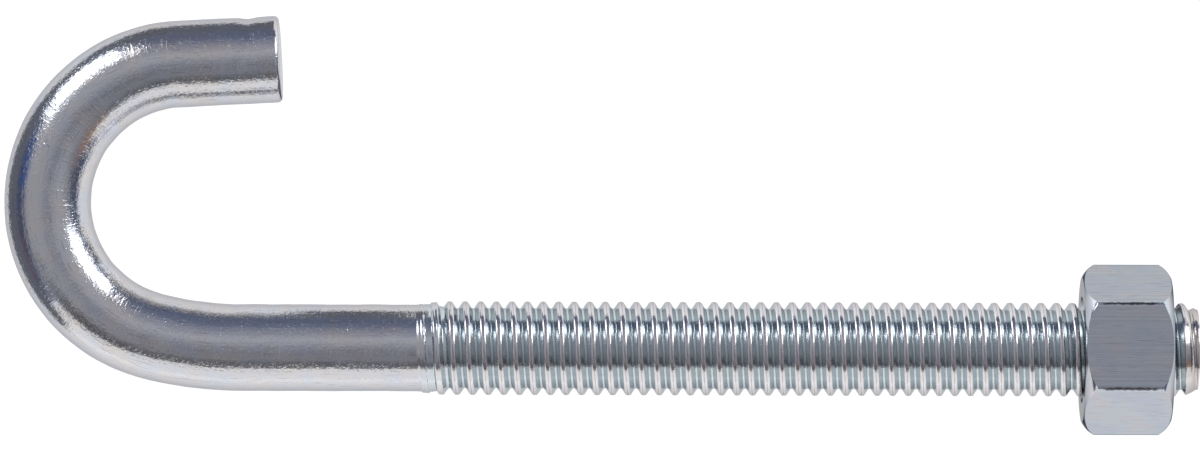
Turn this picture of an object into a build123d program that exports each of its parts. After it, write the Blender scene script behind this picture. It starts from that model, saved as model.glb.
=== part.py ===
from build123d import *
import os
from math import ceil, cos, radians, tan

# A J bolt and its nut, in millimetres, lying on their side.
# The origin is the centre of the threaded end. +X runs out of that end along the straight bar,
# +Y runs from the straight bar to the arm of the hook, and +Z is square to the plane of the hook.

# Bar and hook, measured along the middle of the bar
bar_diameter = 10.97
straight_length = 120.1  # from the threaded end to the start of the bend
lead_in_radius = 44.7  # the bend starts gently, where the bar has sprung back
lead_in_turn = 14.8  # degrees
hook_radius = 17.35
hook_turn = 162.2  # degrees, which leaves the arm 3 degrees open
arm_length = 12.8
cut_edge_chamfer = 0.6  # broken edge round the cropped end of the arm

# Rolled thread, right-handed, 13 turns to the inch
thread_pitch = 25.4 / 13
thread_crest_diameter = 11.78  # not filled to the full half inch, as rolled on undersize bar
thread_root_diameter = 10.27
thread_length = 94.5  # full thread, from the threaded end
run_out_length = 3.5  # the thread fades into the plain bar over this length
point_diameter = 10.1  # flat end of the point
point_length = 1.9
thread_phase = 112.0  # degrees that the thread is turned about the bar

# Hexagon nut
nut_across_flats = 18.75
nut_thickness = 11.1
nut_inset = 3.4  # the threaded end stands out of the nut by this much
nut_turn = 3.6  # degrees that the top flat leans towards the arm of the hook
nut_corner_radius = 0.6
nut_face_diameter = 18.3  # flat ring left between the chamfers of an end
nut_chamfer_angle = 30.0  # degrees from the end face
nut_thread_clearance = 0.06  # between the crests and the plain bore that stands for the nut's thread
nut_countersink_depth = 0.75

bar_radius = bar_diameter / 2
crest_radius = thread_crest_diameter / 2
root_radius = thread_root_diameter / 2
run_out_end = -(thread_length + run_out_length)


def helix_turn(radius, start):
    """One right-hand turn about the X axis that begins at X = start, straight above the axis."""
    turn = Helix(thread_pitch, thread_pitch, radius, center=(start, 0, 0), direction=(1, 0, 0))
    return turn.edge()


def thread_flanks(start):
    """The two flanks of one turn, which meet along its crest."""
    root = helix_turn(root_radius, start)
    crest = helix_turn(crest_radius, start + thread_pitch / 2)
    next_root = helix_turn(root_radius, start + thread_pitch)
    return [
        Face.make_surface_from_curves(root, crest),
        Face.make_surface_from_curves(crest, next_root),
    ]


def thread_cap(start):
    """The ramp and the flat notch that close the thread where it is broken off at X = start."""
    axis = Edge.make_line((start, 0, 0), (start + thread_pitch, 0, 0))
    ramp = Face.make_surface_from_curves(axis, helix_turn(root_radius, start))
    notch = Wire.make_polygon(
        [
            (start, 0, 0),
            (start, 0, root_radius),
            (start + thread_pitch / 2, 0, crest_radius),
            (start + thread_pitch, 0, root_radius),
            (start + thread_pitch, 0, 0),
        ]
    )
    return [ramp, Face(notch)]


# The threaded rod, one turn too long at each end before it is cut to shape.
turn_count = ceil(-run_out_end / thread_pitch) + 2
rod_end = -(turn_count - 1) * thread_pitch
rod_faces = thread_cap(rod_end) + thread_cap(rod_end + turn_count * thread_pitch)
for turn in range(turn_count):
    rod_faces += thread_flanks(rod_end + turn * thread_pitch)
threaded_rod = Rot(X=thread_phase) * Solid(Shell(rod_faces))

with BuildPart() as thread:
    add(threaded_rod)
    # The point: a flat end and a cone that the first turn is rolled down to.
    with BuildSketch(Plane.XY):
        with BuildLine():
            point_slope = (crest_radius - point_diameter / 2) / point_length
            beyond = 2 * thread_pitch
            Polyline(
                (0, 0),
                (0, point_diameter / 2),
                (-2 * point_length, point_diameter / 2 + 2 * point_length * point_slope),
                (beyond, point_diameter / 2 + 2 * point_length * point_slope),
                (beyond, 0),
                close=True,
            )
        make_face()
    revolve(axis=Axis.X, mode=Mode.SUBTRACT)
    # The run-out: the crests come down to the bar, and nothing of the rod is left past it.
    with BuildSketch(Plane.XY):
        with BuildLine():
            past = rod_end - thread_pitch
            Polyline(
                (-thread_length, crest_radius),
                (run_out_end, bar_radius - 0.05),
                (run_out_end, 0),
                (past, 0),
                (past, 2 * crest_radius),
                (-thread_length, 2 * crest_radius),
                close=True,
            )
        make_face()
    revolve(axis=Axis.X, mode=Mode.SUBTRACT)

with BuildPart() as j_bolt:
    with BuildLine() as bar_path:
        straight = Line((run_out_end, 0), (-straight_length, 0))
        lead_in = JernArc(straight @ 1, straight % 1, lead_in_radius, -lead_in_turn)
        bend = JernArc(lead_in @ 1, lead_in % 1, hook_radius, -hook_turn)
        arm = Line(bend @ 1, bend @ 1 + (bend % 1) * arm_length)
    with BuildSketch(Plane(origin=straight @ 0, z_dir=straight % 0)):
        Circle(bar_radius)
    sweep()
    chamfer(j_bolt.faces().sort_by_distance(arm @ 1)[0].edges(), cut_edge_chamfer)
    # The bar narrows inside the last turns, so that their grooves grow shallow and fade.
    with BuildSketch(Plane.XY):
        with BuildLine():
            narrowest = -thread_length + thread_pitch / 2
            Polyline(
                (run_out_end, 0),
                (run_out_end, bar_radius),
                (narrowest, root_radius - 0.1),
                (narrowest, 0),
                close=True,
            )
        make_face()
    revolve(axis=Axis.X)
    add(thread.part)

with BuildPart() as hex_nut:
    nut_start = -nut_inset - nut_thickness
    with BuildSketch(Plane.YZ.offset(nut_start)):
        RegularPolygon(nut_across_flats / 2, 6, major_radius=False, rotation=-nut_turn)
    extrude(amount=nut_thickness)
    fillet(hex_nut.edges().filter_by(Axis.X), nut_corner_radius)
    # Both ends are turned to a cone that takes the corners off.
    with BuildSketch(Plane.XY):
        with BuildLine():
            corner_radius = nut_across_flats / 2 / cos(radians(30))
            cone_rise = (corner_radius - nut_face_diameter / 2) * tan(radians(nut_chamfer_angle))
            Polyline(
                (nut_start, 0),
                (nut_start, nut_face_diameter / 2),
                (nut_start + cone_rise, corner_radius),
                (-nut_inset - cone_rise, corner_radius),
                (-nut_inset, nut_face_diameter / 2),
                (-nut_inset, 0),
                close=True,
            )
        make_face()
    revolve(axis=Axis.X, mode=Mode.INTERSECT)
    # The bore, countersunk at both ends.
    with BuildSketch(Plane.XY):
        with BuildLine():
            bore_radius = crest_radius + nut_thread_clearance
            mouth_radius = bore_radius + nut_countersink_depth
            Polyline(
                (nut_start, 0),
                (nut_start, mouth_radius),
                (nut_start + nut_countersink_depth, bore_radius),
                (-nut_inset - nut_countersink_depth, bore_radius),
                (-nut_inset, mouth_radius),
                (-nut_inset, 0),
                close=True,
            )
        make_face()
    revolve(axis=Axis.X, mode=Mode.SUBTRACT)

j_bolt.part.label = "j_bolt"
hex_nut.part.label = "hex_nut"

os.makedirs("parts", exist_ok=True)
export_step(j_bolt.part, "parts/j_bolt.step")
export_step(hex_nut.part, "parts/hex_nut.step")
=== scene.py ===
"""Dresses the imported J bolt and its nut: rolled thread, bent bar, zinc plate and studio light."""

import logging
import math
from collections.abc import Callable
from dataclasses import dataclass, field
from enum import Enum

import bmesh
import bpy
import numpy as np
from mathutils import Matrix, Vector


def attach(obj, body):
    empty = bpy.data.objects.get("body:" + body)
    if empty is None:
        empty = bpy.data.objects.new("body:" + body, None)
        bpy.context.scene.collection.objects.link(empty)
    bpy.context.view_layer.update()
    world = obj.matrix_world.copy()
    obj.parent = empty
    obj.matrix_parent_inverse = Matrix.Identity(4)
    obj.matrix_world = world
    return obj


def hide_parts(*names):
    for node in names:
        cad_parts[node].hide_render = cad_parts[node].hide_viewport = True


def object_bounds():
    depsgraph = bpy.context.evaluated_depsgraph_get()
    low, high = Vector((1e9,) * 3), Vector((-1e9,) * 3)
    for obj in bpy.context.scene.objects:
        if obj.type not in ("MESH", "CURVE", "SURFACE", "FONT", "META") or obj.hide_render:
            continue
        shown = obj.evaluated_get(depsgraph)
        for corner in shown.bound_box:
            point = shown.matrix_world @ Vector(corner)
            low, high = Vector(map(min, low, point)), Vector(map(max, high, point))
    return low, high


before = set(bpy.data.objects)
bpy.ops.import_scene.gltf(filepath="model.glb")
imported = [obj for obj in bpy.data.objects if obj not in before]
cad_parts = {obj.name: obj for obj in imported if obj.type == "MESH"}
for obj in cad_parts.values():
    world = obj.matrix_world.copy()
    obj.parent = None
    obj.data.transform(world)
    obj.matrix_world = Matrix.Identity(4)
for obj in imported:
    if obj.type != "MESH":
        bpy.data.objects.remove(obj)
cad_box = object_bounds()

MM = 0.001  # metres; the sizes below are in millimetres unless they say metres
CREST_RADIUS = 5.89  # of the bolt's thread, in millimetres
BISECT_THRESHOLD = 1e-7  # metres, which is fine enough for a thread
UNBENT = "unbent"  # where each point of the bar lay, in millimetres, before the hook was bent

Tree = bpy.types.NodeTree
Socket = bpy.types.NodeSocket
log = logging.getLogger("j_bolt")


class Axis(Enum):
    """The direction that a fine pattern runs in."""

    ALONG = (0.05, 1.0, 1.0)
    FAR_ALONG = (0.012, 1.0, 1.0)
    EVEN = (1.0, 1.0, 1.0)
    ACROSS = (1.0, 0.06, 0.06)


# ---------------------------------------------------------------- modelling helpers


def clear_selection() -> None:
    """Leave edit mode and deselect every object."""
    if bpy.context.object is not None and bpy.context.object.mode != "OBJECT":
        bpy.ops.object.mode_set(mode="OBJECT")
    bpy.ops.object.select_all(action="DESELECT")


def focus(piece: bpy.types.Object) -> None:
    """Make one object the active one and the only one selected."""
    clear_selection()
    piece.select_set(True)
    bpy.context.view_layer.objects.active = piece


def take_new(name: str) -> bpy.types.Object:
    """Name the object that an operator has just added, and put its place into its mesh.

    Args:
        name: The name for the object and its mesh.

    Returns:
        The object, at the world origin, unturned and unscaled.
    """
    piece = bpy.context.object
    piece.name = name
    piece.data.name = name
    bpy.ops.object.transform_apply(location=True, rotation=True, scale=True)
    return piece


def select_edges(piece: bpy.types.Object, wanted: Callable[[bmesh.types.BMEdge], bool]) -> None:
    """Select, in edit mode, the edges that a test picks out.

    Args:
        piece: The object in edit mode.
        wanted: The test, given an edge.
    """
    bpy.ops.mesh.select_mode(type="EDGE")
    bpy.ops.mesh.select_all(action="DESELECT")
    edit = bmesh.from_edit_mesh(piece.data)
    for edge in edit.edges:
        edge.select_set(wanted(edge))
    bmesh.update_edit_mesh(piece.data)


def apply_modifier(piece: bpy.types.Object, kind: str, **settings: object) -> None:
    """Add one modifier with its settings and apply it.

    Args:
        piece: The object to change.
        kind: The kind of modifier, in capitals.
        settings: The modifier's own settings.
    """
    focus(piece)
    modifier = piece.modifiers.new(kind.title(), kind)
    for key, value in settings.items():
        setattr(modifier, key, value)
    bpy.ops.object.modifier_apply(modifier=modifier.name)


def cut(piece: bpy.types.Object, tool: bpy.types.Object, operation: str) -> None:
    """Cut a piece with a tool body and throw the tool away.

    Args:
        piece: The object to cut.
        tool: The closed body that cuts it.
        operation: DIFFERENCE or INTERSECT.
    """
    apply_modifier(piece, "BOOLEAN", object=tool, operation=operation, solver="EXACT")
    bpy.data.objects.remove(tool, do_unlink=True)


def merge_and_turn_out(piece: bpy.types.Object, distance: float = 0.0004) -> None:
    """Merge doubled points and turn every face outwards.

    Args:
        piece: The object to clean.
        distance: Points nearer than this, in millimetres, become one.
    """
    focus(piece)
    bpy.ops.object.mode_set(mode="EDIT")
    bpy.ops.mesh.select_all(action="SELECT")
    bpy.ops.mesh.remove_doubles(threshold=distance * MM)
    bpy.ops.mesh.select_all(action="SELECT")
    bpy.ops.mesh.normals_make_consistent(inside=False)
    bpy.ops.object.mode_set(mode="OBJECT")


def crop(piece: bpy.types.Object, low: float, high: float, close_low: bool = True) -> None:
    """Cut off what a tube along the X axis has beyond two places.

    Args:
        piece: The tube.
        low: The place nearer the hook, in millimetres.
        high: The place nearer the threaded end, in millimetres, where the cut is closed.
        close_low: Whether the cut at the low place is closed as well.
    """
    focus(piece)
    bpy.ops.object.mode_set(mode="EDIT")
    for place, is_high in ((high, True), (low, False)):
        bpy.ops.mesh.select_all(action="SELECT")
        bpy.ops.mesh.bisect(
            plane_co=(place * MM, 0, 0),
            plane_no=(1, 0, 0),
            use_fill=is_high or close_low,
            threshold=BISECT_THRESHOLD,
            clear_outer=is_high,
            clear_inner=not is_high,
        )
    bpy.ops.object.mode_set(mode="OBJECT")


def extrude(*offset: float) -> None:
    """Draw what is selected, in edit mode, out by an offset in millimetres."""
    step = tuple(distance * MM for distance in offset)
    bpy.ops.mesh.extrude_region_move(TRANSFORM_OT_translate={"value": step})


def points_of(piece: bpy.types.Object) -> np.ndarray:
    """Return the points of a mesh in millimetres, one row each."""
    flat = np.empty(3 * len(piece.data.vertices))
    piece.data.vertices.foreach_get("co", flat)
    return flat.reshape(-1, 3) / MM


def place_points(piece: bpy.types.Object, points: np.ndarray) -> None:
    """Move the points of a mesh to the rows given in millimetres."""
    piece.data.vertices.foreach_set("co", (points * MM).ravel())
    piece.data.update()


# ---------------------------------------------------------------- the thread


@dataclass
class ToothForm:
    """The outline of one turn of thread, from root to root, in millimetres."""

    pitch: float = 25.4 / 13
    root_radius: float = 5.03
    profile: tuple[tuple[float, float], ...] = (
        (0.0, 0.0),
        (0.08, 0.0),
        (0.14, 0.035),
        (0.19, 0.09),
        (0.60, 0.710),
        (0.64, 0.765),
        (0.69, 0.800),
        (0.765, 0.836),
        (0.80, 0.848),
        (0.88, 0.857),
        (0.957, 0.855),
        (0.977, 0.812),
    )  # (distance from the middle of the root, height above it): root, flank, lip and seam
    phase: float = 112.0  # degrees that the thread is turned about the bar
    steps_per_turn: int = 64

    def outline(self) -> list[tuple[float, float]]:
        """Return the corners of one tooth as (place along the bar, radius)."""
        rise = [(place, self.root_radius + height) for place, height in self.profile[1:]]
        fall = [(self.pitch - place, radius) for place, radius in reversed(rise[:-1])]
        return [*rise, *fall, (self.pitch + rise[0][0], rise[0][1])]

    def place_in_turn(self, along: np.ndarray, angle: np.ndarray) -> np.ndarray:
        """Return how far past the middle of the last root each place lies along the bar."""
        turns = (angle - math.radians(90 + self.phase)) / math.tau
        return np.mod(along - turns * self.pitch, self.pitch)

    def radius_at(self, along: np.ndarray, angle: np.ndarray) -> np.ndarray:
        """Find how far the surface of the thread is from the axis.

        Args:
            along: Places along X, in millimetres.
            angle: Angles about X, in radians from +Y towards +Z.

        Returns:
            The radius at each place.
        """
        place = self.place_in_turn(along, angle)
        places, heights = zip(*self.profile)
        return self.root_radius + np.interp(
            np.minimum(place, self.pitch - place), places, heights
        )

    def roll(self, name: str, first_turn: int, turns: int) -> bpy.types.Object:
        """Roll the tooth round the X axis into an open tube of thread.

        Args:
            name: The name of the new object.
            first_turn: The turn, counted from the threaded end, that the tube starts at.
            turns: How many turns it has.

        Returns:
            The tube, open at both ends.
        """
        clear_selection()
        corners = self.outline()
        start = first_turn * self.pitch
        bpy.ops.mesh.primitive_plane_add(size=MM, location=(0, 0, 0))
        tooth = take_new(name)
        bpy.ops.object.mode_set(mode="EDIT")
        bpy.ops.mesh.select_mode(type="VERT")
        bpy.ops.mesh.select_all(action="SELECT")
        bpy.ops.mesh.merge(type="CENTER")
        bpy.ops.transform.translate(value=((start + corners[0][0]) * MM, 0, corners[0][1] * MM))
        for before, after in zip(corners, corners[1:]):
            extrude(after[0] - before[0], 0, after[1] - before[1])
        bpy.ops.object.mode_set(mode="OBJECT")
        apply_modifier(
            tooth,
            "SCREW",
            axis="X",
            angle=math.tau,
            screw_offset=self.pitch * MM,
            iterations=turns,
            steps=self.steps_per_turn,
            render_steps=self.steps_per_turn,
            use_merge_vertices=False,
            use_smooth_shade=True,
        )
        turned = Matrix.Rotation(math.radians(self.phase), 4, "X")
        tooth.data.transform(turned)
        merge_and_turn_out(tooth)
        return tooth


# ---------------------------------------------------------------- the bent bar


@dataclass
class BarPath:
    """The line along the middle of the bar, in millimetres, which lies in the XY plane."""

    straight_length: float = 120.1
    lead_in_radius: float = 44.7
    lead_in_turn: float = 14.8  # degrees
    hook_radius: float = 17.35
    hook_turn: float = 162.2  # degrees
    arm_length: float = 12.8

    def lead_in_centre(self) -> np.ndarray:
        """Return the centre of the gentle bend that the hook starts with."""
        return np.array([-self.straight_length, self.lead_in_radius])

    def hook_centre(self) -> np.ndarray:
        """Return the centre of the hook's bend."""
        turn = math.radians(self.lead_in_turn)
        towards = np.array([math.sin(turn), math.cos(turn)])
        return self.lead_in_centre() - towards * (self.lead_in_radius - self.hook_radius)

    def full_turn(self) -> float:
        """Return the angle, in radians, that the arm is turned through from the bar."""
        return math.radians(self.lead_in_turn + self.hook_turn)

    def arm_start(self) -> np.ndarray:
        """Return the point where the bend ends and the arm begins."""
        turn = self.full_turn()
        return self.hook_centre() - self.hook_radius * np.array([math.sin(turn), math.cos(turn)])

    def arm_heading(self) -> np.ndarray:
        """Return the direction from the start of the arm to its cropped end."""
        return np.array([-math.cos(self.full_turn()), math.sin(self.full_turn())])

    def unbend(self, points: np.ndarray) -> np.ndarray:
        """Find where each point of the bar lay before the hook was bent.

        Args:
            points: The points in millimetres, one row each.

        Returns:
            The same points with the bar straight along X, in millimetres.
        """
        flat = points[:, :2]
        result = points.copy()
        lead, hook = self.lead_in_centre(), self.hook_centre()
        lead_turn = math.radians(self.lead_in_turn)
        in_bend = flat[:, 0] < -self.straight_length

        from_hook = flat - hook
        hook_angle = np.arctan2(-from_hook[:, 0], -from_hook[:, 1])
        along_arm = (flat - self.arm_start()) @ self.arm_heading()
        on_arm = (flat[:, 1] > hook[1]) & (along_arm > 0)
        in_lead = in_bend & (flat[:, 1] < hook[1]) & (hook_angle < lead_turn)
        in_hook = in_bend & ~in_lead & ~on_arm

        from_lead = flat - lead
        lead_angle = np.arctan2(-from_lead[:, 0], -from_lead[:, 1])
        lead_end = self.straight_length + self.lead_in_radius * lead_turn
        hook_end = lead_end + self.hook_radius * math.radians(self.hook_turn)

        result[in_lead, 0] = -(self.straight_length + self.lead_in_radius * lead_angle[in_lead])
        result[in_lead, 1] = self.lead_in_radius - np.linalg.norm(from_lead[in_lead], axis=1)
        result[in_hook, 0] = -(lead_end + self.hook_radius * (hook_angle[in_hook] - lead_turn))
        result[in_hook, 1] = self.hook_radius - np.linalg.norm(from_hook[in_hook], axis=1)
        inward = np.array([math.sin(self.full_turn()), math.cos(self.full_turn())])
        result[on_arm, 0] = -(hook_end + along_arm[on_arm])
        result[on_arm, 1] = ((flat - self.arm_start()) @ inward)[on_arm]
        return result

    def heading_at(self, along: np.ndarray) -> np.ndarray:
        """Return the direction of the bar's middle line at places along the unbent bar.

        Args:
            along: Places along X before bending, in millimetres, which fall towards the hook.

        Returns:
            A unit vector in the XY plane for each place, pointing towards the thread.
        """
        past = -along - self.straight_length
        lead_length = self.lead_in_radius * math.radians(self.lead_in_turn)
        in_lead = np.clip(past, 0, lead_length) / self.lead_in_radius
        hook_length = self.hook_radius * math.radians(self.hook_turn)
        in_hook = np.clip(past - lead_length, 0, hook_length) / self.hook_radius
        turn = in_lead + in_hook
        return np.stack([np.cos(turn), -np.sin(turn)], axis=1)


@dataclass
class JBolt:
    """The bar with its hook at one end and its rolled thread at the other."""

    finish: "ZincPlate"
    path: BarPath = field(default_factory=BarPath)
    tooth: ToothForm = field(default_factory=ToothForm)
    bar_radius: float = 5.45
    thread_length: float = 93.9  # of the thread at its full depth
    seam_gap: float = 0.04  # bridged once the thread and the bar are joined
    fine_margin: float = 0.2  # how far the closely spaced rings go on past the run-out
    run_out: tuple[tuple[float, float, float], ...] = (
        (-98.05, 5.45, 5.45),
        (-97.2, 5.50, 5.63),
        (-96.4, 5.54, 5.70),
        (-95.6, 5.45, 5.80),
        (-94.9, 5.25, 5.87),
        (-94.2, 5.10, CREST_RADIUS),
    )  # how the thread fades, as (place along X, least radius, greatest radius)
    roll_marks: tuple[float, ...] = (0.50, 0.977, 1.50)  # places along one turn of the run-out
    roll_mark_depth: float = 0.032
    roll_mark_width: float = 0.09
    point_radius: float = 5.05
    point_length: float = 1.9
    end_rounding: float = 0.6
    end_rings: tuple[float, ...] = (4.0, 2.4, 0.9)  # their radii on the arm's end face
    sides: int = 96
    ring_spacing: float = 0.36
    wave_depth: float = 0.012  # how far cold drawing and bending left the bar from round
    wave_lengths: tuple[float, ...] = (2.6, 3.7, 5.3, 7.1, 11.0, 17.0)
    wave_lobes: tuple[int, ...] = (0, 1, 2, 3, 5)  # bulges round the bar
    wave_limit: float = 2.6  # times the wave depth
    dip_depth: float = 0.20  # where the shear's clamp held the arm
    dip_place: float = 3.9  # from the arm's end
    dip_width: float = 0.95
    dents: int = 16
    seed: int = 11

    def thread(self) -> bpy.types.Object:
        """Roll the thread, taper its point and cut it to length.

        Returns:
            The thread, closed at its flat end and open where it starts to fade.
        """
        turns = math.ceil(self.thread_length / self.tooth.pitch) + 3
        tube = self.tooth.roll("j_bolt_dressed", 1 - turns, turns)
        points = points_of(tube)
        radius = np.linalg.norm(points[:, 1:], axis=1)
        ceiling = np.interp(
            points[:, 0], [-self.point_length, 0.0], [CREST_RADIUS, self.point_radius]
        )
        points[:, 1:] *= (np.minimum(radius, ceiling) / radius)[:, None]
        place_points(tube, points)
        crop(tube, -self.thread_length, 0.0, close_low=False)
        return tube

    def extrude_rings(self, length: float, count: int, heading: Vector) -> None:
        """Draw the selected ring out along a straight line.

        Args:
            length: How far, in millimetres.
            count: How many rings to leave on the way.
            heading: The direction.
        """
        for _ in range(count):
            extrude(*(heading * (length / count)))

    def bar(self) -> bpy.types.Object:
        """Draw the plain bar from the thread, bend its hook and round its cropped end.

        Returns:
            The bar, open where the thread begins and closed at the arm's end.
        """
        path = self.path
        first = -self.thread_length - self.seam_gap
        fade = first - self.run_out[0][0] + self.fine_margin
        clear_selection()
        bpy.ops.mesh.primitive_circle_add(
            vertices=self.sides,
            radius=self.bar_radius * MM,
            location=(first * MM, 0, 0),
            rotation=(0, math.pi / 2, 0),
        )
        bar = take_new("bar_and_hook")
        bpy.ops.object.mode_set(mode="EDIT")
        bpy.ops.mesh.select_all(action="SELECT")
        back = Vector((-1, 0, 0))
        self.extrude_rings(fade, round(fade / self.roll_mark_width), back)
        plain = path.straight_length + first - fade
        self.extrude_rings(plain, round(plain / self.ring_spacing), back)
        for centre, radius, degrees in (
            (path.lead_in_centre(), path.lead_in_radius, path.lead_in_turn),
            (path.hook_centre(), path.hook_radius, path.hook_turn),
        ):
            bpy.ops.mesh.spin(
                steps=round(radius * math.radians(degrees) / self.ring_spacing),
                angle=math.radians(degrees),
                center=(centre[0] * MM, centre[1] * MM, 0),
                axis=(0, 0, 1),
            )
        heading = Vector((*path.arm_heading(), 0))
        arm = path.arm_length - self.end_rounding
        self.extrude_rings(arm, round(arm / self.ring_spacing), heading)
        self.round_end(heading)
        bpy.ops.object.mode_set(mode="OBJECT")
        merge_and_turn_out(bar)
        return bar

    def round_end(self, heading: Vector) -> None:
        """Round the rim of the arm's end and close it with rings and a middle.

        Args:
            heading: The direction that the arm ends in.
        """
        edge = Vector((*self.path.arm_start(), 0))
        edge += heading * (self.path.arm_length - self.end_rounding)
        steps = 6  # rings round the rim
        last_along, last_radius = 0.0, self.bar_radius
        for count in range(1, steps + 1):
            angle = math.pi / 2 * count / steps
            along = self.end_rounding * math.sin(angle)
            radius = self.bar_radius - self.end_rounding * (1 - math.cos(angle))
            self.extrude_rings(along - last_along, 1, heading)
            scale = radius / last_radius
            centre = tuple((edge + heading * along) * MM)
            bpy.ops.transform.resize(value=(scale, scale, scale), center_override=centre)
            last_along, last_radius = along, radius
        for radius in self.end_rings:
            self.extrude_rings(0.0, 1, heading)
            scale = radius / last_radius
            bpy.ops.transform.resize(value=(scale, scale, scale), center_override=centre)
            last_radius = radius
        bpy.ops.mesh.edge_face_add()

    def shape_run_out(self, bar: bpy.types.Object) -> None:
        """Let the thread fade into the bar, with the rings that the rolls left on the way.

        Args:
            bar: The bar, round all along.
        """
        points = points_of(bar)
        along, across, up = points.T
        angle = np.arctan2(up, across)
        places, least, greatest = (np.array(column) for column in zip(*self.run_out))
        fading = (along > places[0]) & (np.abs(across) < 2 * self.bar_radius)
        radius = np.clip(
            self.tooth.radius_at(along, angle),
            np.interp(along, places, least),
            np.interp(along, places, greatest),
        )
        turn_place = self.tooth.place_in_turn(along, angle)
        for mark in self.roll_marks:
            away = np.abs(turn_place - mark)
            away = np.minimum(away, self.tooth.pitch - away)
            radius -= self.roll_mark_depth * np.exp(-((away / self.roll_mark_width) ** 2))
        scale = np.where(fading, radius / np.hypot(across, up), 1.0)
        points[:, 1:] *= scale[:, None]
        place_points(bar, points)

    def uneven(self, along: np.ndarray, angle: np.ndarray) -> np.ndarray:
        """Return how far the drawn and bent bar stands from round, in millimetres."""
        random = np.random.default_rng(self.seed)
        height = np.zeros_like(along)
        for length in self.wave_lengths:
            for lobes in self.wave_lobes:
                shift = random.uniform(0, math.tau)
                height += np.cos(math.tau * along / length + lobes * angle + shift)
        limit = self.wave_limit
        return self.wave_depth * np.clip(height / height.std(), -limit, limit)

    def press_marks(self, bolt: bpy.types.Object) -> None:
        """Give the bar its slight waves, and the arm the dip and dents of bending and cropping.

        Args:
            bolt: The whole bolt.
        """
        points = points_of(bolt)
        unbent = self.path.unbend(points)
        along, across, up = unbent.T
        from_end = along - along.min()
        angle = np.arctan2(up, across)
        # The marks fade out over 0.8 mm before the arm's end and 2 mm before the thread.
        end_skin = np.clip((from_end - self.end_rounding) / 0.8, 0, 1)
        on_bar = np.clip((self.run_out[0][0] - along) / 2.0, 0, 1) * end_skin
        drop = on_bar * self.uneven(along, angle)
        dip = self.dip_depth * np.exp(-(((from_end - self.dip_place) / self.dip_width) ** 2))
        drop -= on_bar * dip * np.clip(-across / self.bar_radius, 0, 1) ** 2
        random = np.random.default_rng(self.seed + 1)
        for _ in range(self.dents):
            place, turn = random.uniform(1.5, 6.0), random.uniform(-math.pi, math.pi)
            depth, width = random.uniform(0.012, 0.04), random.uniform(0.45, 0.9)
            round_bar = self.bar_radius * np.angle(np.exp(1j * (angle - turn)))
            reach = ((from_end - place) ** 2 + round_bar**2) / width**2
            drop -= on_bar * depth * np.exp(-reach)
        heading = self.path.heading_at(along)
        inwards = np.stack([-heading[:, 1], heading[:, 0]], axis=1)
        length = np.maximum(np.hypot(across, up), 1e-6)
        points[:, :2] += (drop * across / length)[:, None] * inwards
        points[:, 2] += drop * up / length
        place_points(bolt, points)

    def build(self) -> bpy.types.Object:
        """Join thread and bar into one closed body and keep its unbent places.

        Returns:
            The bolt, riding on its body in place of the CAD solid.
        """
        bolt = self.thread()
        bar = self.bar()
        self.shape_run_out(bar)
        focus(bolt)
        bar.select_set(True)
        bpy.ops.object.join()
        bpy.ops.object.mode_set(mode="EDIT")

        def beside_gap(edge: bmesh.types.BMEdge) -> bool:
            """Return whether an edge is on one of the two open rims."""
            away = max(abs(point.co.x / MM + self.thread_length) for point in edge.verts)
            return edge.is_boundary and away < self.seam_gap + 0.01

        select_edges(bolt, beside_gap)
        bpy.ops.mesh.bridge_edge_loops()
        bpy.ops.object.mode_set(mode="OBJECT")
        merge_and_turn_out(bolt)
        self.press_marks(bolt)
        unbent = bolt.data.attributes.new(UNBENT, "FLOAT_VECTOR", "POINT")
        unbent.data.foreach_set("vector", self.path.unbend(points_of(bolt)).ravel())
        focus(bolt)
        bpy.ops.object.shade_smooth_by_angle(angle=math.radians(50))
        apply_modifier(bolt, "WEIGHTED_NORMAL", keep_sharp=True, weight=100)
        self.dress(bolt)
        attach(bolt, "bolt")
        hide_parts("j_bolt")
        return bolt

    def dress(self, bolt: bpy.types.Object) -> None:
        """Plate the bolt with its finish."""
        bolt.data.materials.clear()
        bolt.data.materials.append(self.finish.material(follows_bar=True))


# ---------------------------------------------------------------- the nut


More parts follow.
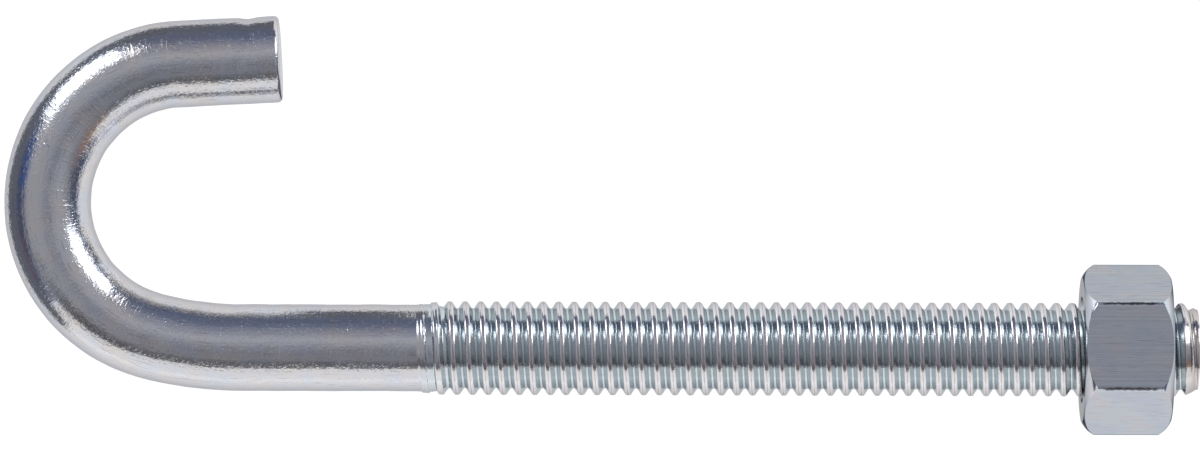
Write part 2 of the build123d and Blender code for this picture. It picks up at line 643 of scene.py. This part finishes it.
@dataclass
class HexNut:
    """The chamfered hexagon nut near the threaded end."""

    finish: "ZincPlate"
    bolt_tooth: ToothForm
    across_flats: float = 18.75
    thickness: float = 11.1
    inset: float = 3.4
    turn: float = 3.6  # degrees that the top flat leans towards the arm of the hook
    corner_rounding: float = 0.42
    edge_break: float = 0.13
    face_diameter: float = 18.3
    chamfer_depth: float = 2.6  # at the radius where the cone would leave the corners
    chamfer_margin: float = 0.4  # how far that radius is past the corners
    crown: float = 0.55  # how much of the chamfer is curved, where the rest is a cone
    countersink: float = 0.75
    countersink_past: float = 0.4  # how far the countersinking body stands out of the nut
    bore_clearance: float = 0.06
    minor_radius: float = 5.335
    sides: int = 192

    def middle(self) -> float:
        """Return the place along X of the middle of the nut."""
        return -self.inset - self.thickness / 2

    def hexagon(self) -> bpy.types.Object:
        """Crop a hexagon from the bar stock and soften its six long corners.

        Returns:
            The hexagon prism.
        """
        clear_selection()
        bpy.ops.mesh.primitive_cylinder_add(
            vertices=6,
            radius=self.across_flats / 2 / math.cos(math.radians(30)) * MM,
            depth=self.thickness * MM,
            location=(self.middle() * MM, 0, 0),
            rotation=(0, math.pi / 2, 0),
        )
        nut = take_new("hex_nut_dressed")
        corners = points_of(nut)[:, 1:]
        present = math.degrees(math.atan2(corners[0, 1], corners[0, 0])) % 60
        # The normal of the upper flat is the lean short of 90 degrees, with a corner 30 past it.
        wanted = (90 - self.turn + 30) % 60
        nut.data.transform(Matrix.Rotation(math.radians(wanted - present), 4, "X"))
        bpy.ops.object.mode_set(mode="EDIT")
        half = self.thickness / 2 * MM

        def runs_along(edge: bmesh.types.BMEdge) -> bool:
            """Return whether an edge runs from one end of the nut to the other."""
            return abs(edge.verts[0].co.x - edge.verts[1].co.x) > half

        select_edges(nut, runs_along)
        bpy.ops.mesh.bevel(offset=self.corner_rounding * MM, segments=5, affect="EDGES")
        bpy.ops.object.mode_set(mode="OBJECT")
        return nut

    def lathe(self, name: str, stations: list[tuple[float, float]]) -> bpy.types.Object:
        """Turn a closed body round the X axis.

        Args:
            name: The name of the new object.
            stations: The outline as (place along X, radius), in millimetres.

        Returns:
            The closed body.
        """
        clear_selection()
        place, radius = stations[0]
        bpy.ops.mesh.primitive_circle_add(
            vertices=self.sides,
            radius=radius * MM,
            fill_type="NGON",
            location=(place * MM, 0, 0),
            rotation=(0, math.pi / 2, 0),
        )
        body = take_new(name)
        bpy.ops.object.mode_set(mode="EDIT")
        bpy.ops.mesh.select_all(action="SELECT")
        for (from_place, from_radius), (to_place, to_radius) in zip(stations, stations[1:]):
            extrude(to_place - from_place, 0, 0)
            scale = to_radius / from_radius
            bpy.ops.transform.resize(
                value=(1, scale, scale), center_override=(to_place * MM, 0, 0)
            )
        bpy.ops.object.mode_set(mode="OBJECT")
        merge_and_turn_out(body)
        return body

    def chamfer_ends(self, nut: bpy.types.Object) -> None:
        """Turn both ends of the nut to a crowned cone that takes the corners off."""
        half = self.thickness / 2
        face = self.face_diameter / 2
        flat = self.across_flats / 2
        outside = flat / math.cos(math.radians(30)) + self.chamfer_margin
        outline = []
        for share in np.linspace(0, 1, 13).tolist():
            depth = self.chamfer_depth * ((1 - self.crown) * share + self.crown * share**3)
            outline.append((depth, face + (outside - face) * share))
        low = [(self.middle() - half + depth, radius) for depth, radius in outline]
        high = [(self.middle() + half - depth, radius) for depth, radius in reversed(outline)]
        cut(nut, self.lathe("chamfer_cone", low + high), "INTERSECT")

    def soften_edges(self, nut: bpy.types.Object) -> None:
        """Break the sharp edges that the lathe left, as tumbling and plating do."""
        merge_and_turn_out(nut)
        apply_modifier(
            nut,
            "BEVEL",
            width=self.edge_break * MM,
            segments=3,
            limit_method="ANGLE",
            angle_limit=math.radians(24),
            use_clamp_overlap=True,
        )

    def tap(self, nut: bpy.types.Object) -> None:
        """Countersink both ends and tap the thread."""
        half = self.thickness / 2
        low, high = self.middle() - half, self.middle() + half
        past = self.countersink_past
        mouth = CREST_RADIUS + self.bore_clearance + self.countersink + past
        bottom = self.bolt_tooth.root_radius
        depth = mouth - bottom - past
        for end, inwards in ((low, 1), (high, -1)):
            outline = [(end - inwards * past, mouth), (end + inwards * depth, bottom)]
            cut(nut, self.lathe("countersink", outline), "DIFFERENCE")
        tap = ToothForm(
            root_radius=self.minor_radius,
            profile=((0.0, 0.0), (0.19, 0.0), (0.60, 0.60), (0.977, 0.605)),
        )
        spare = 2.0  # how far the threads of the tap go past each end of the nut
        first = math.floor((low - spare) / tap.pitch)
        turns = math.ceil((high + spare) / tap.pitch) - first
        plug = tap.roll("tap", first - 1, turns + 1)
        crop(plug, low - spare / 2, high + spare / 2)
        merge_and_turn_out(plug)
        cut(nut, plug, "DIFFERENCE")

    def build(self) -> bpy.types.Object:
        """Make the nut from bar stock.

        Returns:
            The nut, riding on its body in place of the CAD solid.
        """
        nut = self.hexagon()
        self.chamfer_ends(nut)
        self.soften_edges(nut)
        self.tap(nut)
        merge_and_turn_out(nut)
        bpy.ops.object.shade_smooth_by_angle(angle=math.radians(35))
        apply_modifier(nut, "WEIGHTED_NORMAL", keep_sharp=True, weight=100)
        self.dress(nut)
        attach(nut, "nut")
        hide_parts("hex_nut")
        return nut

    def dress(self, nut: bpy.types.Object) -> None:
        """Plate the nut with its finish."""
        nut.data.materials.clear()
        nut.data.materials.append(self.finish.material(follows_bar=False))


# ---------------------------------------------------------------- finishes


def linear(code: str) -> tuple[float, float, float, float]:
    """Turn an sRGB hex code into a linear colour with full alpha."""
    parts = [int(code[place : place + 2], 16) / 255 for place in (1, 3, 5)]
    red, green, blue = (p / 12.92 if p <= 0.04045 else ((p + 0.055) / 1.055) ** 2.4 for p in parts)
    return red, green, blue, 1.0


def add_node(
    tree: Tree,
    kind: str,
    settings: dict[str, object] | None = None,
    inputs: dict[str | int, object] | None = None,
) -> bpy.types.Node:
    """Add a node with its settings and links.

    Args:
        tree: The node tree to add to.
        kind: The kind of node.
        settings: The node's own settings.
        inputs: For each input, by name or number, a value or the socket that feeds it.

    Returns:
        The node.
    """
    node = tree.nodes.new(kind)
    for key, value in (settings or {}).items():
        setattr(node, key, value)
    for key, value in (inputs or {}).items():
        socket = node.inputs[key]
        if isinstance(value, Socket):
            tree.links.new(value, socket)
        else:
            socket.default_value = value
    return node


def empty_tree(owner: bpy.types.Material | bpy.types.World) -> Tree:
    """Return the node tree of a material or of the room, with nothing in it."""
    owner.use_nodes = True
    owner.node_tree.nodes.clear()
    return owner.node_tree


@dataclass(frozen=True)
class Relief:
    """One layer of fine relief in the plate."""

    grain_mm: float
    depth_mm: float
    run: Axis = Axis.EVEN
    detail: float = 2.0
    flat_share: float = 0.0  # how much of the noise is cut to a flat, which leaves sparse bumps
    bump_top: float = 0.8  # where in the noise the bumps that are left are at their highest


@dataclass(frozen=True)
class ZincPlate:
    """Bright zinc electroplate with a clear blue passivation.

    The plate is a thin metal layer, so the eye sees a cool silver that mirrors the room softly. Its
    crystals scatter the mirror image into fine specks, the draw lines of the steel show through it,
    and the passivation tints it faintly blue in places and warm in others.
    """

    name: str
    reliefs: tuple[Relief, ...]
    silver: str = "#C8C8CB"
    cool: str = "#C5C8CE"
    warm: str = "#CBC8C7"
    groove: str = "#C6CED1"  # plate is thinner in a groove, and its film is blue-green
    crest: str = "#D4D1D2"
    sheared: str = "#C2B0A6"  # the threaded end, where the cut steel shows through thin plate
    sheared_share: float = 0.6
    sheared_reach: tuple[float, float] = (-2.2, -0.9)  # along X, where it starts and is full
    edge: str = "#CBCBCE"  # what is left of the mirror image at a glancing angle
    roughness: float = 0.15
    frost: float = 0.30  # the roughness of the specks of frost between the bright crystals
    frosted: tuple[float, float] = (0.50, 0.72)  # the part of the noise that turns to frost
    turned_roughness: float = 0.11  # where a tool turned the nut's ends and cones
    turned_relief: float = 0.15  # how much of the relief the tool left there
    thread_relief: float = 0.25  # how much of it the rolls left on the thread
    relief_reach: tuple[float, float] = (-99.5, -98.0)  # along X, where the rolls took it off
    thread_reach: tuple[float, float] = (-98.0, -95.5)  # along X, where the grooves fade in
    thread_radii: tuple[float, float] = (5.05, 5.88)  # of the grooves and the crests
    painted_shade: str = "#67676C"  # the dark grey of the painted shade along the nut's corners and rims and on its ends
    lean: float = 3.6  # degrees that the nut's top flat leans
    middle: float = -8.95  # the middle of the nut along X
    end_shade_share: float = 0.45  # how far the two flat ends are darkened with painted shade
    scratched: str = "#8C8A89"
    scratch_mm: float = 0.15
    scratch_lines: tuple[float, float] = (0.64, 0.72)  # the part of the noise that is scratched
    scratch_share: float = 0.45
    burr_place: tuple[float, float, float] = (-161.2, -1.2, 5.35)  # on the unbent bar
    burr_size: tuple[float, float, float] = (0.17, 0.66, 0.66)
    burr_height: float = 0.07
    speck_mm: float = 0.45  # coarser than the crystals, which are too fine to show
    tint_mm: float = 3.0
    ragged_mm: float = 0.5
    ragged_height: float = 0.30  # how far the noise shifts the line of painted shade along a corner
    rim_shade_share: float = 0.7  # how dark the painted shade on the rims of the flats is

    def material(self, follows_bar: bool) -> bpy.types.Material:
        """Make the plate's material.

        Args:
            follows_bar: Whether its pattern follows the bent bar, or lies along X.

        Returns:
            The material.
        """
        material = bpy.data.materials.new(self.name)
        tree = empty_tree(material)
        place = self.place(tree, follows_bar)
        colour = self.scratch(tree, place, self.tint(tree, place))
        if follows_bar:
            colour = self.tint_thread(tree, place, colour)
            strength = self.relief_strength(tree, place)
            inputs = {
                "Value": self.noise(tree, place, Relief(self.speck_mm, 0.0, detail=3.0)),
                "From Min": self.frosted[0],
                "From Max": self.frosted[1],
                "To Min": self.roughness,
                "To Max": self.frost,
            }
        else:
            turned, colour = self.paint_edge_shade(tree, place, colour)
            inputs = {"Value": turned, "To Min": 1.0, "To Max": self.turned_relief}
            strength = add_node(tree, "ShaderNodeMapRange", None, inputs).outputs["Result"]
            inputs = {"Value": turned, "To Min": self.roughness, "To Max": self.turned_roughness}
        rough = add_node(tree, "ShaderNodeMapRange", None, inputs).outputs["Result"]
        above: dict[str | int, object] = {}  # each layer of relief lies on the one before it
        for relief in self.reliefs:
            height = self.noise(tree, place, relief)
            depth = relief.depth_mm * MM
            inputs = {"Height": height, "Strength": strength, "Distance": depth, **above}
            above["Normal"] = add_node(tree, "ShaderNodeBump", None, inputs).outputs["Normal"]
        if follows_bar:
            above["Normal"] = self.burr(tree, place, above["Normal"])
        inputs = {
            "Base Color": colour,
            "Metallic": 1.0,
            "Specular Tint": linear(self.edge),
            "Roughness": rough,
            **above,
        }
        shader = add_node(tree, "ShaderNodeBsdfPrincipled", None, inputs)
        add_node(tree, "ShaderNodeOutputMaterial", None, {"Surface": shader.outputs["BSDF"]})
        return material

    def place(self, tree: Tree, follows_bar: bool) -> Socket:
        """Return the place on the piece in millimetres, along the bar or in the frame."""
        if follows_bar:
            source = add_node(tree, "ShaderNodeAttribute", {"attribute_name": UNBENT})
            return source.outputs["Vector"]
        source = add_node(tree, "ShaderNodeTexCoord")
        inputs = {0: source.outputs["Object"], "Scale": 1 / MM}
        return add_node(tree, "ShaderNodeVectorMath", {"operation": "SCALE"}, inputs).outputs[0]

    def noise(self, tree: Tree, place: Socket, relief: Relief) -> Socket:
        """Return a noise of a relief's grain, stretched the way that it runs."""
        inputs = {0: place, 1: relief.run.value}
        stretched = add_node(tree, "ShaderNodeVectorMath", {"operation": "MULTIPLY"}, inputs)
        inputs = {
            "Vector": stretched.outputs[0],
            "Scale": 1 / relief.grain_mm,
            "Detail": relief.detail,
        }
        height = add_node(tree, "ShaderNodeTexNoise", None, inputs).outputs[0]
        if relief.flat_share > 0:
            inputs = {"Value": height, "From Min": relief.flat_share, "From Max": relief.bump_top}
            height = add_node(tree, "ShaderNodeMapRange", None, inputs).outputs["Result"]
        return height

    def tint(self, tree: Tree, place: Socket) -> Socket:
        """Return the silver, shifted in soft patches towards blue and towards warm."""
        patches = self.noise(tree, place, Relief(self.tint_mm, 0.0, detail=1.5))
        ramp = add_node(tree, "ShaderNodeValToRGB", None, {"Fac": patches})
        stops = ramp.color_ramp.elements
        stops[0].position, stops[0].color = 0.36, linear(self.cool)
        stops[1].position, stops[1].color = 0.66, linear(self.warm)
        stops.new(0.52).color = linear(self.silver)
        return ramp.outputs["Color"]

    def scratch(self, tree: Tree, place: Socket, colour: Socket) -> Socket:
        """Return the colour with fine dull scratches along the piece."""
        inputs = {
            "Value": self.noise(
                tree, place, Relief(self.scratch_mm, 0.0, Axis.ALONG, detail=1.0)
            ),
            "From Min": self.scratch_lines[0],
            "From Max": self.scratch_lines[1],
            "To Max": self.scratch_share,
        }
        share = add_node(tree, "ShaderNodeMapRange", None, inputs).outputs["Result"]
        inputs = {"Factor": share, 6: colour, 7: linear(self.scratched)}
        return add_node(tree, "ShaderNodeMix", {"data_type": "RGBA"}, inputs).outputs[2]

    def burr(self, tree: Tree, place: Socket, normal: Socket) -> Socket:
        """Return the normal with the short raised burr on the outside of the hook."""
        inputs = {0: place, 1: self.burr_place}
        away = add_node(tree, "ShaderNodeVectorMath", {"operation": "SUBTRACT"}, inputs)
        inputs = {0: away.outputs[0], 1: self.burr_size}
        away = add_node(tree, "ShaderNodeVectorMath", {"operation": "DIVIDE"}, inputs)
        inputs = {0: away.outputs[0]}
        away = add_node(tree, "ShaderNodeVectorMath", {"operation": "LENGTH"}, inputs)
        inputs = {"Value": away.outputs["Value"], "To Min": 1.0, "To Max": 0.0}
        settings = {"interpolation_type": "SMOOTHSTEP"}
        height = add_node(tree, "ShaderNodeMapRange", settings, inputs).outputs["Result"]
        inputs = {"Height": height, "Distance": self.burr_height * MM, "Normal": normal}
        return add_node(tree, "ShaderNodeBump", None, inputs).outputs["Normal"]

    def relief_strength(self, tree: Tree, place: Socket) -> Socket:
        """Return how deep the relief is, because the rolls pressed the thread smooth."""
        parts = add_node(tree, "ShaderNodeSeparateXYZ", None, {"Vector": place})
        inputs = {
            "Value": parts.outputs["X"],
            "From Min": self.relief_reach[0],
            "From Max": self.relief_reach[1],
            "To Min": 1.0,
            "To Max": self.thread_relief,
        }
        return add_node(tree, "ShaderNodeMapRange", None, inputs).outputs["Result"]

    def paint_edge_shade(self, tree: Tree, place: Socket, colour: Socket) -> tuple[Socket, Socket]:
        """Paint shade on the six long corners and the rims of the flats as a ragged thin dark line,
        and on the two ends.

        Args:
            tree: The node tree to add to.
            place: The place on the piece in millimetres.
            colour: The colour of the plate.

        Returns:
            How far the surface is a turned one, from 0 to 1, and the colour with the painted shade
            on its edges and ends.
        """
        facing = add_node(tree, "ShaderNodeNewGeometry").outputs["Normal"]
        parts = add_node(tree, "ShaderNodeSeparateXYZ", None, {"Vector": facing})
        absolute, greater = {"operation": "ABSOLUTE"}, {"operation": "MAXIMUM"}

        # Endwise is 0 on the six flats and 1 on the two ends, and flatness is 1 on the flats.
        endwise = add_node(tree, "ShaderNodeMath", absolute, {0: parts.outputs["X"]}).outputs[0]
        flatness: Socket | float = 0.0
        for side in range(3):
            angle = math.radians(90 - self.lean + 60 * side)
            inputs = {0: facing, 1: (0.0, math.cos(angle), math.sin(angle))}
            dot = add_node(tree, "ShaderNodeVectorMath", {"operation": "DOT_PRODUCT"}, inputs)
            match = add_node(tree, "ShaderNodeMath", absolute, {0: dot.outputs["Value"]})
            inputs = {0: flatness, 1: match.outputs[0]}
            flatness = add_node(tree, "ShaderNodeMath", greater, inputs).outputs[0]
        ragged = self.noise(tree, place, Relief(self.ragged_mm, 0.0, detail=3.0))
        inputs = {0: ragged, 1: self.ragged_height, 2: flatness}
        lifted = add_node(tree, "ShaderNodeMath", {"operation": "MULTIPLY_ADD"}, inputs).outputs[0]
        along = add_node(tree, "ShaderNodeSeparateXYZ", None, {"Vector": place}).outputs["X"]

        # Each mark has its greatest share, and the ranges that a point has to be in to have it.
        # Painted shade: a ragged dark line along the six long corners, and another along the rims
        # of the flats.
        corners = (
            (lifted, 1.12, 1.07),
            (endwise, 0.12, 0.06),
            (flatness, 0.985, 0.965),
            (along, self.middle - 3.6, self.middle - 3.1),
            (along, self.middle + 3.6, self.middle + 3.1),
        )
        rims = (
            (endwise, 0.02, 0.05),
            (endwise, 0.20, 0.12),
            (flatness, 0.955, 0.98),
            (ragged, 0.42, 0.62),
        )
        # Painted shade: the two flat ends are darkened so they stand apart from the white floor.
        ends = ((endwise, 0.96, 0.985),)
        painted_shade: Socket | float = 0.0
        marks = ((1.0, corners), (self.rim_shade_share, rims), (self.end_shade_share, ends))
        for greatest, ranges in marks:
            share: Socket | float = greatest
            for value, outside, inside in ranges:
                inputs = {"Value": value, "From Min": outside, "From Max": inside}
                within = add_node(tree, "ShaderNodeMapRange", None, inputs)
                inputs = {0: share, 1: within.outputs["Result"]}
                settings = {"operation": "MULTIPLY"}
                share = add_node(tree, "ShaderNodeMath", settings, inputs).outputs[0]
            painted_shade = add_node(tree, "ShaderNodeMath", greater, {0: painted_shade, 1: share}).outputs[0]

        inputs = {"Value": endwise, "From Min": 0.12, "From Max": 0.34}
        turned = add_node(tree, "ShaderNodeMapRange", None, inputs).outputs["Result"]
        # Painted shade: the corners, rims and ends are mixed towards a dark grey.
        inputs = {"Factor": painted_shade, 6: colour, 7: linear(self.painted_shade)}
        mix = add_node(tree, "ShaderNodeMix", {"data_type": "RGBA"}, inputs)
        return turned, mix.outputs[2]

    def tint_thread(self, tree: Tree, place: Socket, colour: Socket) -> Socket:
        """Return the colour with the grooves of the thread bluer and its crests warmer."""
        along = add_node(tree, "ShaderNodeSeparateXYZ", None, {"Vector": place}).outputs["X"]
        inputs = {0: place, 1: (0.0, 1.0, 1.0)}
        across = add_node(tree, "ShaderNodeVectorMath", {"operation": "MULTIPLY"}, inputs)
        inputs = {0: across.outputs[0]}
        radius = add_node(tree, "ShaderNodeVectorMath", {"operation": "LENGTH"}, inputs)
        low, high = self.thread_radii
        inputs = {"Value": radius.outputs["Value"], "From Min": low, "From Max": high}
        depth = add_node(tree, "ShaderNodeMapRange", None, inputs).outputs["Result"]
        ramp = add_node(tree, "ShaderNodeValToRGB", None, {"Fac": depth})
        stops = ramp.color_ramp.elements
        stops[0].position, stops[0].color = 0.75, linear(self.groove)
        stops[1].position, stops[1].color = 0.97, linear(self.crest)
        for (start, full), share, film in (
            (self.thread_reach, 1.0, ramp.outputs["Color"]),
            (self.sheared_reach, self.sheared_share, linear(self.sheared)),
        ):
            inputs = {"Value": along, "From Min": start, "From Max": full, "To Max": share}
            covered = add_node(tree, "ShaderNodeMapRange", None, inputs).outputs["Result"]
            inputs = {"Factor": covered, 6: colour, 7: film}
            colour = add_node(tree, "ShaderNodeMix", {"data_type": "RGBA"}, inputs).outputs[2]
        return colour


# ---------------------------------------------------------------- the studio


def towards(azimuth: float, elevation: float) -> Vector:
    """Return the unit vector towards an azimuth and an elevation, both in degrees."""
    turn, rise = math.radians(azimuth), math.radians(elevation)
    level = math.cos(rise)
    return Vector((level * math.cos(turn), level * math.sin(turn), math.sin(rise)))


@dataclass(frozen=True)
class RoomThing:
    """Something in the room that bright metal picks up as a soft spot of colour."""

    azimuth: float  # degrees from +X towards +Y
    elevation: float  # degrees above the floor
    core: float  # degrees from its middle that keep its full colour
    reach: float  # degrees from its middle to where it has faded out
    colour: str

    def paint(self, tree: Tree, direction: Socket, behind: Socket) -> Socket:
        """Paint the spot over what is behind it.

        Args:
            tree: The room's node tree.
            direction: The direction that is looked in.
            behind: The colour of the room without this spot.

        Returns:
            The colour of the room with it.
        """
        aim = tuple(towards(self.azimuth, self.elevation))
        inputs = {0: direction, 1: aim}
        facing = add_node(tree, "ShaderNodeVectorMath", {"operation": "DOT_PRODUCT"}, inputs)
        inputs = {
            "Value": facing.outputs["Value"],
            "From Min": math.cos(math.radians(self.reach)),
            "From Max": math.cos(math.radians(self.core)),
        }
        share = add_node(tree, "ShaderNodeMapRange", None, inputs).outputs["Result"]
        inputs = {"Factor": share, 6: behind, 7: linear(self.colour)}
        return add_node(tree, "ShaderNodeMix", {"data_type": "RGBA"}, inputs).outputs[2]


@dataclass(frozen=True)
class Softbox:
    """One soft light, placed by direction round the object."""

    name: str
    azimuth: float  # degrees from +X towards +Y
    elevation: float  # degrees above the floor
    width: float  # metres
    height: float  # metres
    brightness: float  # of its face, where 1 is white
    colour: str
    distance: float = 1.6  # metres

    def place(self, aim: Vector) -> None:
        """Put the light up, facing a point.

        Args:
            aim: The point it faces, in metres.
        """
        lamp = bpy.data.lights.new(self.name, "AREA")
        lamp.shape = "RECTANGLE"
        lamp.size, lamp.size_y = self.width, self.height
        lamp.energy = self.brightness * math.pi * self.width * self.height
        lamp.color = linear(self.colour)[:3]
        holder = bpy.data.objects.new(self.name, lamp)
        bpy.context.scene.collection.objects.link(holder)
        away = towards(self.azimuth, self.elevation)
        holder.location = aim + away * self.distance
        holder.rotation_euler = away.to_track_quat("Z", "Y").to_euler()
        holder.visible_camera = False


@dataclass(frozen=True)
class Flag:
    """A low strip of dark cloth on the floor, out of sight, that the metal's edges mirror."""

    name: str
    start: tuple[float, float]  # X, Y in metres
    end: tuple[float, float]
    height: float = 0.0145
    colour: str = "#70747F"

    def place(self, floor_height: float) -> None:
        """Stand the strip on the floor.

        Args:
            floor_height: The floor's height in metres.
        """
        clear_selection()
        bpy.ops.mesh.primitive_plane_add(size=1.0)
        strip = take_new(self.name)
        start, end = (Vector((*place, floor_height)) for place in (self.start, self.end))
        up = Vector((0, 0, self.height))
        for vertex, place in zip(strip.data.vertices, (start, end, start + up, end + up)):
            vertex.co = place
        material = bpy.data.materials.new(self.name)
        tree = empty_tree(material)
        glow = add_node(tree, "ShaderNodeEmission", None, {"Color": linear(self.colour)})
        add_node(tree, "ShaderNodeOutputMaterial", None, {"Surface": glow.outputs[0]})
        strip.data.materials.append(material)
        strip.visible_camera = False
        strip.visible_shadow = False


@dataclass
class Studio:
    """A pale floor, a dim room and soft lights, with the camera straight above."""

    floor_size: float = 6.0  # metres
    floor_gap: float = 0.0001  # metres from the floor up to the lowest point of the CAD model
    ceiling: tuple[tuple[float, str], ...] = (
        (-1.0, "#85868B"),
        (-0.78, "#7A7A80"),
        (-0.66, "#7E7E85"),
        (-0.52, "#A8A9B0"),
        (-0.37, "#9A9AA5"),
        (-0.22, "#8C8C98"),
        (-0.06, "#9CA0AF"),
        (0.08, "#A8ADBA"),
        (0.22, "#D4D4DD"),
        (0.40, "#DADBE2"),
        (0.555, "#BCBDC9"),
        (0.69, "#B0B1BF"),
        (0.80, "#999FB4"),
        (0.92, "#828BAA"),
    )  # its colour from front to back, by the Y of the direction that is looked in
    ceiling_edge: tuple[float, float] = (0.28, 0.60)  # where wall turns to ceiling, by its Z
    wall: str = "#788199"
    room_strength: float = 0.80
    things: tuple[RoomThing, ...] = (
        RoomThing(182, 52, 12, 42, "#C8C8CE"),
        RoomThing(8, 57, 8, 31, "#CDCDD4"),
        RoomThing(184, 2, 14, 32, "#565E7C"),
        RoomThing(-8, 2, 12, 28, "#5C6480"),
        RoomThing(167, 22, 3, 13, "#3E62AC"),
        RoomThing(199, 3, 4, 13, "#84686C"),
        RoomThing(-34, 28, 4, 14, "#B08D78"),
        RoomThing(-130, 40, 5, 20, "#6E6E74"),
        RoomThing(134, 33, 5, 22, "#FFFBFC"),
        RoomThing(38, 38, 4, 15, "#F2F3F8"),
    )
    softboxes: tuple[Softbox, ...] = (
        Softbox("softbox_left", 133, 21, 0.74, 0.90, 3.4, "#FAFCFF"),
        Softbox("softbox_right", 36, 27, 0.86, 0.90, 3.8, "#FAFCFF"),
        Softbox("card_front", -90, 17, 4.2, 0.97, 0.97, "#FFFBF4"),
    )
    softbox_aim: tuple[float, float, float] = (-0.075, 0.015, 0.0)  # metres
    flags: tuple[Flag, ...] = (
        Flag("flag_left", (-0.166, -0.022), (-0.166, 0.060)),
        Flag("flag_back", (-0.166, 0.060), (-0.113, 0.060)),
        Flag("flag_mouth", (-0.1138, 0.030), (-0.0985, 0.030)),
    )
    lens: float = 240.0  # millimetres
    sensor_width: float = 36.0  # millimetres
    camera_place: tuple[float, float, float] = (-0.07505, 0.01538, 1.0049)  # metres
    camera_roll: float = 0.15  # degrees

    def floor_height(self) -> float:
        """Return the height of the floor in metres."""
        return cad_box[0][2] - self.floor_gap

    def floor(self) -> None:
        """Lay the pale floor just under the lowest point of the CAD model."""
        clear_selection()
        height = self.floor_height()
        bpy.ops.mesh.primitive_plane_add(size=self.floor_size, location=(0, 0, height))
        floor = take_new("floor")
        material = bpy.data.materials.new("white_acrylic_table")
        tree = empty_tree(material)
        inputs = {
            "Base Color": linear("#626365"),
            "Specular IOR Level": 0.12,
            "Roughness": 0.32,
            "Emission Color": linear("#FEFEFF"),
            "Emission Strength": 1.0,
        }
        shader = add_node(tree, "ShaderNodeBsdfPrincipled", None, inputs)
        add_node(tree, "ShaderNodeOutputMaterial", None, {"Surface": shader.outputs["BSDF"]})
        floor.data.materials.append(material)

    def room(self) -> None:
        """Light the room dimly: a graded ceiling, dark blue walls and a few things in it."""
        world = bpy.data.worlds.new("room")
        bpy.context.scene.world = world
        tree = empty_tree(world)
        direction = add_node(tree, "ShaderNodeTexCoord").outputs["Generated"]
        parts = add_node(tree, "ShaderNodeSeparateXYZ", None, {"Vector": direction})
        inputs = {"Value": parts.outputs["Y"], "From Min": -1.0, "From Max": 1.0}
        back_to_front = add_node(tree, "ShaderNodeMapRange", None, inputs).outputs["Result"]
        ramp = add_node(tree, "ShaderNodeValToRGB", None, {"Fac": back_to_front})
        stops = ramp.color_ramp.elements
        for stop, (place, colour) in zip(stops, (self.ceiling[0], self.ceiling[-1])):
            stop.position, stop.color = (place + 1) / 2, linear(colour)
        for place, colour in self.ceiling[1:-1]:
            stops.new((place + 1) / 2).color = linear(colour)
        low, high = self.ceiling_edge
        inputs = {"Value": parts.outputs["Z"], "From Min": low, "From Max": high}
        height = add_node(tree, "ShaderNodeMapRange", None, inputs).outputs["Result"]
        inputs = {"Factor": height, 6: linear(self.wall), 7: ramp.outputs["Color"]}
        colour = add_node(tree, "ShaderNodeMix", {"data_type": "RGBA"}, inputs).outputs[2]
        for thing in self.things:
            colour = thing.paint(tree, direction, colour)
        inputs = {"Color": colour, "Strength": self.room_strength}
        back = add_node(tree, "ShaderNodeBackground", None, inputs)
        add_node(tree, "ShaderNodeOutputWorld", None, {"Surface": back.outputs["Background"]})

    def camera(self) -> None:
        """Hang the camera straight above the middle of the object."""
        data = bpy.data.cameras.new("camera")
        data.lens = self.lens
        data.sensor_width = self.sensor_width
        holder = bpy.data.objects.new("camera", data)
        bpy.context.scene.collection.objects.link(holder)
        holder.location = self.camera_place
        holder.rotation_euler = (0, 0, math.radians(self.camera_roll))
        bpy.context.scene.camera = holder

    def build(self) -> None:
        """Set up the whole studio."""
        self.floor()
        self.room()
        for softbox in self.softboxes:
            softbox.place(Vector(self.softbox_aim))
        for flag in self.flags:
            flag.place(self.floor_height())
        self.camera()
        bpy.context.scene.view_settings.view_transform = "Standard"


def main() -> None:
    """Build the object and the studio in order."""
    logging.basicConfig(level=logging.INFO, format="%(name)s: %(message)s")
    bar_finish = ZincPlate(
        "zinc_plated_drawn_steel",
        (
            Relief(0.36, 0.018, detail=2.0, flat_share=0.50),
            Relief(0.34, 0.010, Axis.FAR_ALONG),
            Relief(0.34, 0.014, Axis.ACROSS, flat_share=0.58),
        ),
    )
    nut_finish = ZincPlate(
        "zinc_plated_forged_steel",
        (
            Relief(3.0, 0.020, detail=1.0),
            Relief(0.36, 0.024, Axis.FAR_ALONG),
            Relief(0.40, 0.008, detail=3.0),
        ),
        silver="#BCC1C7",
        cool="#B8BEC7",
        warm="#C0C0C4",
        edge="#505256",
        roughness=0.27,
    )
    bolt = JBolt(bar_finish)
    for piece in (bolt.build(), HexNut(nut_finish, bolt.tooth).build()):
        triangles = sum(len(face.vertices) - 2 for face in piece.data.polygons)
        log.info("%s: %d triangles", piece.name, triangles)
    Studio().build()


if __name__ == "__main__":
    main()
